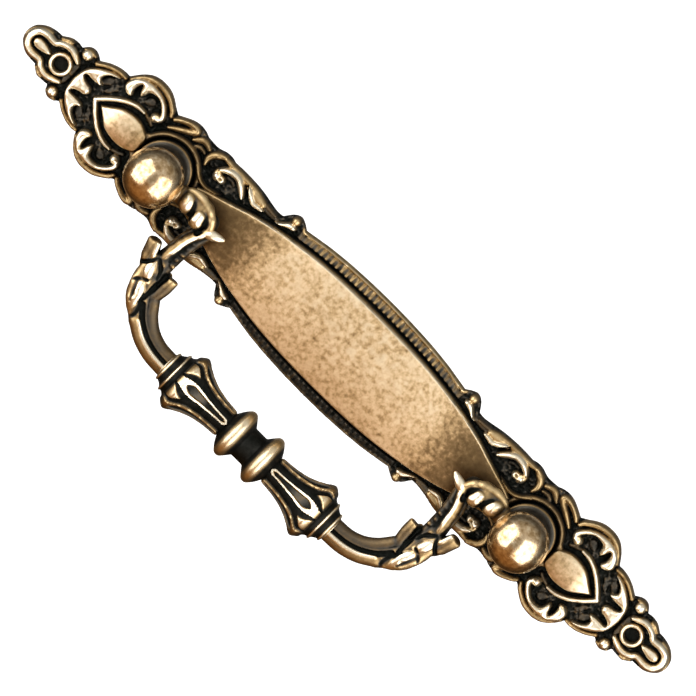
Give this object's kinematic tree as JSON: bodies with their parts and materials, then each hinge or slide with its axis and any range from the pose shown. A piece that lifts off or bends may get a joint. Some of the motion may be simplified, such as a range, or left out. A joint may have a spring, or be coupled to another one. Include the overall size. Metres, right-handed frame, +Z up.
{
  "type": "drop bail pull",
  "caption": "Drawer or cabinet handle: a swinging baluster bail hung between ball-headed posts on a long cast backplate with scroll and leaf relief, in antique brass.",
  "frame": {"origin": "centre of the backplate's flat back face, midway between the posts", "axes": "+X along the backplate, +Z up the drawer front with the bail hanging down, +Y out of the back face into the drawer front"},
  "size_m": [0.1688, 0.019, 0.0437],
  "materials": {
    "backplate_brass": "antique brass: dark patina in the recesses, rubbed bright on the high points, mottled satin middle",
    "post_brass": "antique brass, rubbed to a soft gloss",
    "bail_brass": "antique brass: dark patina in the flutes and creases, rubbed bright on ribs, rings and leaf edges"
  },
  "bodies": {
    "base": {"backplate": "backplate_brass", "left_post": "post_brass", "right_post": "post_brass"},
    "bail": {"bail": "bail_brass"}
  },
  "joints": [
    {"name": "bail_swing", "type": "hinge", "parent": "base", "child": "bail", "pos_m": [0, -0.007, 0], "axis": [-1, 0, 0], "range_deg": [0, 180]}
  ]
}
